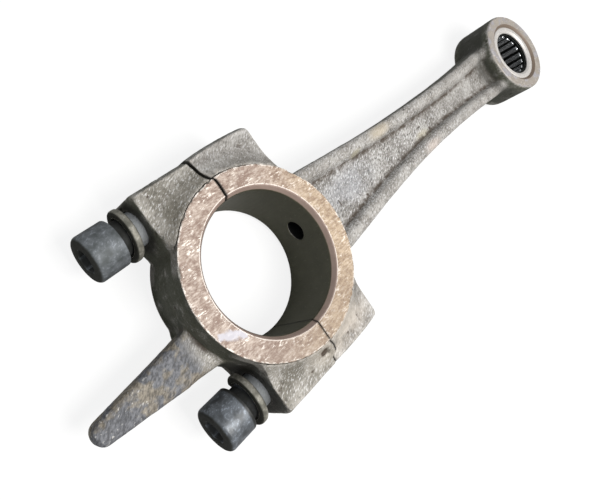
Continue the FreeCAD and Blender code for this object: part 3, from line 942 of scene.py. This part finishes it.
    def bore_wall(self):
        """Colour of the crank bore's wall, darker on one side."""
        wall = self.mix(self.noise(5.0, 3.0, 0.6), *BORE_WALL)
        scuffs = self.fade(self.noise(0.6, 2.0, 0.6, stretch=(1, 1, 3)), 0.62, 0.75)
        wall = self.mix(self.both(scuffs, 0.4), wall, BORE_SCUFF)
        return self.mix(self.both(self.fade(self.y, 2.0, 16.0), 0.5), wall, BORE_SHADE)

    def holes(self):
        """Painted shade in the split, the screw holes and the oil hole."""
        self.coat(self.attribute("split"), 0.9, SPLIT_SHADE)
        bolt_hole_shade = self.both(self.fade(self.from_bolts, HOLE + 0.7, HOLE + 0.2),
                              self.fade(self.from_bore, BORE, BORE + 1.0),
                              self.fade(self.x, WEB_START, WEB_START - 2.0))
        self.coat(bolt_hole_shade, 0.85, BOLT_HOLE_SHADE)
        from_oil_hole = self.distance(self.y, self.z)
        oil_hole_shade = self.both(self.fade(from_oil_hole, OIL_HOLE + 0.5, OIL_HOLE + 0.1),
                             self.fade(self.from_bore, BORE + 0.1, BORE + 0.5),
                             self.fade(self.x, 4.0, 6.0),
                             self.fade(self.x, WEB_START, WEB_START - 1.0))
        self.coat(oil_hole_shade, 1.0, OIL_HOLE_SHADE)

    def eye(self):
        """Colour the small end, with painted shade where the web meets the eye. The result is
        the share of its machined face.
        """
        # painted shade where the web meets the eye
        neck = self.both(self.fade(self.from_eye, EYE_OUT + 9.0, EYE_OUT + 1.5),
                         self.fade(self.height, EYE_TOP - 2.0, EYE_TOP - 4.5))
        self.coat(neck, 0.72, NECK_SHADE)
        face = self.both(self.fade(self.height, EYE_TOP - 0.3, EYE_TOP - 0.15),
                         self.fade(self.from_eye, EYE_OUT - 0.05, EYE_OUT - 0.4))
        bluish = self.fade(self.noise(4.5, 2.0), 0.5, 0.62)
        scratches = self.noise(0.5, 2.0, 0.7, stretch=(2.4, 1, 1), turn=RING_TURN)
        grey = self.mix(self.noise(3.0), *EYE_FACE)
        grey = self.mix(self.both(bluish, 0.6), grey, EYE_BLUE)
        grey = self.mix(self.both(self.fade(scratches, 0.56, 0.7), 0.5), grey, EYE_SCRATCH)
        self.coat(face, 1.0, grey)
        seat_edge = SEAT + SEAT_CHAMFER
        recess = self.both(self.fade(self.from_eye, seat_edge + 0.2, seat_edge - 0.1),
                           self.fade(self.height, EYE_TOP - 1.6, EYE_TOP - 1.2))
        self.coat(recess, 1.0, RECESS)
        return face


def cast_iron(name, warm, dark, dipper=False):
    """Material of one casting. The cap is the one with the dipper."""
    iron = Iron(name, warm, dark)
    iron.sand()
    iron.grime_and_shade(dipper)
    if dipper:
        iron.dipper_patches()

    mouth = RING_TOP - BORE_CHAMFER_DEPTH
    mouth_edge = BORE + BORE_CHAMFER
    bore = iron.fade(iron.from_bore, BORE + 0.25, BORE + 0.1)
    chamfer = iron.both(iron.fade(iron.from_bore, mouth_edge + 0.1, mouth_edge - 0.05),
                        iron.fade(iron.height, mouth - 0.1, mouth + 0.1))
    ring = iron.both(iron.fade(iron.from_bore, RING + 0.1, RING - 0.05),
                     iron.fade(iron.height, RING_TOP - 0.42, RING_TOP - 0.25))
    ring_colour, ring_rough, ring_cuts = iron.ground_ring()
    iron.coat(ring, 1.0, ring_colour)
    iron.coat(chamfer, 1.0, iron.mix(iron.clouds, *CHAMFER))
    iron.coat(bore, 1.0, iron.bore_wall())
    iron.holes()
    eye_face = iron.eye()

    smooth = iron.math("MAXIMUM", iron.math("MAXIMUM", bore, chamfer), eye_face)
    rough = iron.blend(smooth, iron.blend(iron.flecks, 0.66, 0.5), 0.45)
    rough = iron.blend(ring, rough, ring_rough)
    metal = iron.blend(ring, iron.blend(iron.flecks, 0.15, 0.35), 0.0)
    relief = iron.math("ADD", iron.both(iron.grit, 0.7), iron.both(iron.noise(1.2), 0.5))
    normal = iron.turn_to(smooth, iron.bump(relief, 0.16, 0.9),
                          iron.bump(iron.noise(0.5, 2.0), 0.02))
    normal = iron.turn_to(ring, normal, iron.bump(ring_cuts, 0.05))
    return iron.finish(iron.paint, metal, rough, normal)


END_FACE_SHADE = tone(34, 34, 26)
NECK_SHADOW = tone(30, 29, 24)
SHANK_GROUND = (tone(112, 114, 114), tone(186, 190, 194))
SOCKET_SHADE = tone(20, 20, 16)


def dark_steel(name, tones, sheen, rough, shank=False):
    """Black-oxide steel with a painted sheen on rubbed patches and painted shade on its end
    faces; a screw also has a painted shadow on its neck, a bright part of its shank and painted
    shade in its socket.
    """
    shader = Shader(name)
    clouds = shader.noise(3.0, 4.0, 0.6)
    fine = shader.noise(0.5, 3.0, 0.65, stretch=(2.0, 1, 1), turn=STROKE_TURN)
    shader.paint = shader.mix(shader.fade(clouds, 0.3, 0.7), *tones)
    # painted sheen on rubbed patches
    rubbed_sheen = shader.both(shader.fade(fine, 0.5, 0.7), shader.fade(clouds, 0.4, 0.6))
    shader.coat(rubbed_sheen, 0.6, sheen)
    # painted shade on the faces that face along X
    ends = shader.fade(shader.facing(0), 0.5, 0.9)
    shader.coat(ends, 0.9, END_FACE_SHADE)
    if shank:
        x = shader.axes()[0]
        # painted shadow on the neck between the head and the washer
        grime_and_shade = shader.both(shader.fade(x, NECK_START - 0.3, NECK_START + 0.2),
                            shader.fade(x, SHANK_START, SHANK_START - 0.8))
        shader.coat(grime_and_shade, 0.85, NECK_SHADOW)
        ground = shader.both(shader.fade(x, SHANK_START - 0.2, SHANK_START + 0.4),
                             shader.fade(x, LUG_START, LUG_START - 2.0))
        shader.coat(ground, 0.75, shader.mix(fine, *SHANK_GROUND))
        edge = SOCKET_FLATS / 2
        # painted shade in the socket
        socket_shade = shader.both(shader.fade(shader.bolt_reach(), edge + 0.5, edge + 0.1),
                             shader.fade(x, NECK_START - 2.0, NECK_START - 3.0))
        shader.coat(socket_shade, 0.9, SOCKET_SHADE)
    dull = shader.blend(ends, shader.blend(clouds, *rough), 0.85)
    normal = shader.bump(shader.math("ADD", fine, clouds), 0.05)
    return shader.finish(shader.paint, 0.4, dull, normal)


def bearing_steel(name, tones, rough, metal=0.9):
    """Ground bearing steel."""
    shader = Shader(name)
    marks = shader.noise(0.6, 3.0, 0.6, stretch=(1, 1, 4))
    colour = shader.mix(marks, *tones)
    return shader.finish(colour, metal, shader.blend(marks, *rough), shader.bump(marks, 0.01))


# ---- floor, lights and camera ----------------------------------------------------------

CAMERA_PLACE = Vector((-76.9, 22.17, 141.2))
CAMERA_TURN = (19.46, -30.54, -41.33)
CAMERA_LENS = 33.6
CAMERA_SHIFT = (0.0265, -0.09)
FLOOR_HALF = 1500.0
FLOOR_GLOW = 0.85           # share of the floor's own light, where the camera sees it
ROOM_LEVEL = 0.45           # strength of the room's light on the object
SEEN_LEVEL = 0.95           # and as the camera sees it


def build_floor():
    """Pale floor, seen from above only."""
    mesh = bpy.data.meshes.new("floor")
    level = cad_box[0].z
    half = FLOOR_HALF * MM
    corners = [(-half, -half), (half, -half), (half, half), (-half, half)]
    mesh.from_pydata([(x, y, level) for x, y in corners], [], [(0, 1, 2, 3)])
    shader = Shader("pale_floor")
    path = shader.node("ShaderNodeLightPath").outputs["Is Camera Ray"]
    clouds = shader.noise(60.0, 2.0)
    pale = shader.mix(clouds, tone(252, 252, 252), tone(255, 255, 255))
    seen = shader.mix(path, tone(150, 150, 150), pale)
    matt = shader.node("ShaderNodeBsdfDiffuse", {"Color": seen})
    glow = shader.node("ShaderNodeEmission", {"Color": pale, "Strength": 1.0})
    share = shader.both(path, FLOOR_GLOW)
    lit = shader.node("ShaderNodeMixShader",
                      {0: share, 1: matt.outputs[0], 2: glow.outputs[0]})
    below = shader.node("ShaderNodeNewGeometry").outputs["Backfacing"]
    clear = shader.node("ShaderNodeBsdfTransparent")
    sided = shader.node("ShaderNodeMixShader",
                        {0: below, 1: lit.outputs[0], 2: clear.outputs[0]})
    output = shader.node("ShaderNodeOutputMaterial")
    shader.tree.links.new(sided.outputs[0], output.inputs[0])
    mesh.materials.append(shader.material)
    floor = bpy.data.objects.new("floor", mesh)
    bpy.context.scene.collection.objects.link(floor)


def add_light(name, direction, distance, size, power, colour):
    """Square soft light that faces the middle of the object."""
    lamp = bpy.data.lights.new(name, "AREA")
    lamp.size = size * MM
    lamp.energy = power
    lamp.color = colour
    item = bpy.data.objects.new(name, lamp)
    middle = (cad_box[0] + cad_box[1]) / 2
    towards = Vector(direction).normalized()
    item.location = middle + towards * distance * MM
    item.rotation_euler = towards.to_track_quat("Z", "Y").to_euler()
    bpy.context.scene.collection.objects.link(item)


def build_lights():
    add_light("key", (-0.02, -0.34, 0.94), 700, 320, 6.0, (1.0, 0.98, 0.95))
    add_light("fill", (-0.4, 0.5, 0.8), 900, 700, 1.2, (0.92, 0.96, 1.0))
    world = bpy.data.worlds.new("soft_room")
    world.use_nodes = True
    room = world.node_tree.nodes["Background"]
    room.inputs["Color"].default_value = tone(240, 243, 245)
    path = world.node_tree.nodes.new("ShaderNodeLightPath")
    level = world.node_tree.nodes.new("ShaderNodeMath")
    level.operation = "MULTIPLY_ADD"
    level.inputs[1].default_value = SEEN_LEVEL - ROOM_LEVEL
    level.inputs[2].default_value = ROOM_LEVEL
    world.node_tree.links.new(path.outputs["Is Camera Ray"], level.inputs[0])
    world.node_tree.links.new(level.outputs[0], room.inputs["Strength"])
    bpy.context.scene.world = world


def build_camera():
    lens = bpy.data.cameras.new("camera")
    lens.lens = CAMERA_LENS
    lens.shift_x, lens.shift_y = CAMERA_SHIFT
    lens.clip_start = MM
    camera = bpy.data.objects.new("camera", lens)
    camera.location = CAMERA_PLACE * MM
    camera.rotation_euler = Euler([math.radians(turn) for turn in CAMERA_TURN])
    bpy.context.scene.collection.objects.link(camera)
    bpy.context.scene.camera = camera


# ---- the scene -------------------------------------------------------------------------

ROD_TONES = (tone(168, 165, 161), tone(128, 124, 119))
CAP_TONES = (tone(158, 154, 147), tone(112, 108, 99))
WASHER_TONES = (tone(88, 87, 79), tone(136, 133, 124))
SCREW_TONES = ((tone(70, 74, 75), tone(106, 110, 114)), (tone(68, 71, 74), tone(104, 109, 115)))
RACE_TONES = (tone(172, 166, 160), tone(218, 216, 214))
CAGE_TONES = (tone(24, 26, 24), tone(44, 46, 44))
ROLLER_TONES = (tone(200, 202, 204), tone(236, 238, 240))

build_rod(cast_iron("rod_cast_iron", *ROD_TONES))
build_cap(cast_iron("cap_cast_iron", *CAP_TONES, dipper=True))
washer_steel = dark_steel("brown_oxide", WASHER_TONES, tone(182, 180, 172), (0.5, 0.65))
screw_steels = (
    dark_steel("dull_oxide", SCREW_TONES[0], tone(150, 155, 163), (0.55, 0.68), shank=True),
    dark_steel("black_oxide", SCREW_TONES[1], tone(168, 176, 188), (0.36, 0.5), shank=True),
)
for side in SIDES:
    build_screw(side, screw_steels[side - 1])
    build_washer(side, washer_steel)
build_race(bearing_steel("race_steel", RACE_TONES, (0.45, 0.6), metal=0.35))
build_cage(bearing_steel("cage_steel", CAGE_TONES, (0.35, 0.5)))
roller_steel = bearing_steel("roller_steel", ROLLER_TONES, (0.12, 0.22))
for index in range(1, ROLLER_COUNT + 1):
    build_roller(index, roller_steel)

build_floor()
build_lights()
build_camera()
bpy.context.scene.view_settings.view_transform = "Standard"
